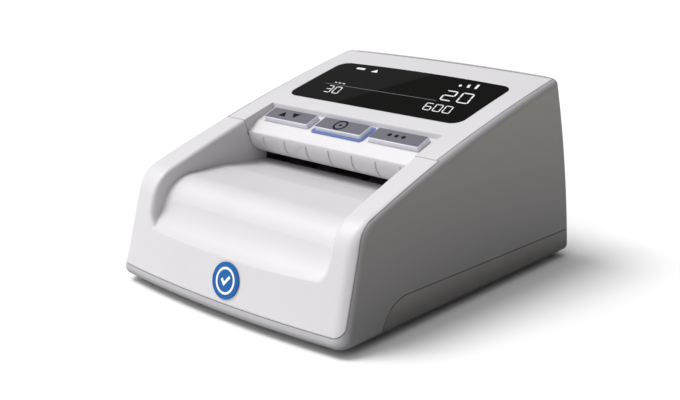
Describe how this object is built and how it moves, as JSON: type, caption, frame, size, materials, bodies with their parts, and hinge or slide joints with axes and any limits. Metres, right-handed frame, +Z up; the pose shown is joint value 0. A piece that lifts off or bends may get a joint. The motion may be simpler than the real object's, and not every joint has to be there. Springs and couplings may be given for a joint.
{
  "type": "banknote counting machine",
  "caption": "Desktop banknote counter and checker: wedge-shaped grey case, white front tray and hinged white hood with display and push keys over a roller-driven note path.",
  "frame": {"origin": "middle of the footprint, on the surface the rubber feet stand on", "axes": "+Z up, -Y towards the user (note tray and front face), +X to the user's right"},
  "size_m": [0.128, 0.1594, 0.0823],
  "materials": {
    "shell_grey": "fine textured grey moulding",
    "pan_grey": "fine textured grey moulding",
    "panel_white": "satin off-white moulding",
    "steel": "bright steel",
    "window_black": "smoked gloss pane",
    "display_unit": "display unit in a dark frame",
    "circuit_board": "green laminate",
    "key_grey": "satin grey key",
    "light_blue": "translucent blue",
    "key_rubber": "translucent rubber",
    "ribbon": "flat cable",
    "inner_black": "black moulding",
    "sensor_glass": "dark sensor window",
    "roller_rubber": "black rubber",
    "gear_white": "natural acetal",
    "gear_brass": "turned brass",
    "motor_can": "zinc plated can",
    "frame_steel": "zinc plated sheet",
    "bush_bronze": "sintered bronze",
    "head_metal": "polished head face",
    "chip_black": "black epoxy",
    "socket_metal": "plated socket",
    "battery_wrap": "shrink film",
    "foot_rubber": "black rubber",
    "badge_blue": "blue and white badge"
  },
  "bodies": {
    "base": {"wrap_shell": "shell_grey", "bottom_pan": "pan_grey", "tray_bezel": "panel_white", "idler_pin": "steel", "drive_motor": "motor_can", "motor_screws": "steel", "side_frame_left": "frame_steel", "side_frame_right": "frame_steel", "bearing_bushes": "bush_bronze", "frame_screws": "steel", "note_bed": "inner_black", "lower_lens": "sensor_glass", "lower_sensor_bar": "inner_black", "magnetic_heads": "head_metal", "main_board": "circuit_board", "board_parts": "chip_black", "board_screws": "steel", "dc_jack": "chip_black", "service_port": "socket_metal", "battery_pack": "battery_wrap", "rubber_feet": "foot_rubber", "pan_screws": "steel", "front_badge": "badge_blue"},
    "hood": {"hood_cover": "panel_white", "hinge_pins": "steel", "display_window": "window_black", "lcd_module": "display_unit", "control_board": "circuit_board", "control_screws": "steel", "key_light_ring": "light_blue", "key_board": "circuit_board", "key_pad": "key_rubber", "key_ribbon": "ribbon", "hood_inner_frame": "inner_black", "upper_sensor_bar": "inner_black", "upper_lens": "sensor_glass", "hood_screws": "steel"},
    "left_key": {"key_left": "key_grey"},
    "middle_key": {"key_middle": "key_grey"},
    "right_key": {"key_right": "key_grey"},
    "front_pinch_roll": {"front_pinch_shaft": "steel", "front_pinch_rollers": "roller_rubber"},
    "rear_pinch_roll": {"rear_pinch_shaft": "steel", "rear_pinch_rollers": "roller_rubber"},
    "front_drive_roll": {"front_drive_shaft": "steel", "front_drive_rollers": "roller_rubber", "front_drive_gear": "gear_white"},
    "rear_drive_roll": {"rear_drive_shaft": "steel", "rear_drive_rollers": "roller_rubber", "rear_drive_gear": "gear_white"},
    "idler": {"idler_gear": "gear_white"},
    "motor_rotor": {"motor_pinion": "gear_brass", "motor_shaft": "steel"},
    "door": {"battery_door": "pan_grey"}
  },
  "joints": [
    {"name": "hood_hinge", "type": "hinge", "parent": "base", "child": "hood", "pos_m": [0, 0.0574, 0.07774], "axis": [-1, 0, 0], "range_deg": [0, 60]},
    {"name": "left_key_press", "type": "slide", "parent": "hood", "child": "left_key", "axis": [0, 0.3502, -0.9367], "range_m": [0, 0.0008], "stiffness_N_per_m": 400, "springref_m": -0.0003, "deforming": ["key_pad"]},
    {"name": "middle_key_press", "type": "slide", "parent": "hood", "child": "middle_key", "axis": [0, 0.3502, -0.9367], "range_m": [0, 0.0008], "stiffness_N_per_m": 400, "springref_m": -0.0003, "deforming": ["key_pad"]},
    {"name": "right_key_press", "type": "slide", "parent": "hood", "child": "right_key", "axis": [0, 0.3502, -0.9367], "range_m": [0, 0.0008], "stiffness_N_per_m": 400, "springref_m": -0.0003, "deforming": ["key_pad"]},
    {"name": "idler_spin", "type": "hinge", "parent": "base", "child": "idler", "pos_m": [0, 0.028, 0.0356], "axis": [1, 0, 0], "continuous": true},
    {"name": "front_drive_spin", "type": "hinge", "parent": "base", "child": "front_drive_roll", "pos_m": [0, 0.004, 0.0356], "axis": [1, 0, 0], "continuous": true},
    {"name": "rear_drive_spin", "type": "hinge", "parent": "base", "child": "rear_drive_roll", "pos_m": [0, 0.052, 0.0356], "axis": [1, 0, 0], "continuous": true},
    {"name": "motor_spin", "type": "hinge", "parent": "base", "child": "motor_rotor", "pos_m": [0, 0.028, 0.0164], "axis": [1, 0, 0], "continuous": true},
    {"name": "front_pinch_spin", "type": "hinge", "parent": "hood", "child": "front_pinch_roll", "pos_m": [0, 0.004, 0.0477], "axis": [1, 0, 0], "continuous": true},
    {"name": "rear_pinch_spin", "type": "hinge", "parent": "hood", "child": "rear_pinch_roll", "pos_m": [0, 0.052, 0.0477], "axis": [1, 0, 0], "continuous": true},
    {"name": "door_slide", "type": "slide", "parent": "base", "child": "door", "axis": [0, -1, 0], "range_m": [0, 0.008]}
  ],
  "couplings": [
    {"joint": "front_drive_spin", "follows": "idler_spin", "ratio": -1.5},
    {"joint": "rear_drive_spin", "follows": "idler_spin", "ratio": -1.5},
    {"joint": "motor_spin", "follows": "idler_spin", "ratio": -3},
    {"joint": "front_pinch_spin", "follows": "idler_spin", "ratio": 2.1},
    {"joint": "rear_pinch_spin", "follows": "idler_spin", "ratio": 2.1}
  ]
}
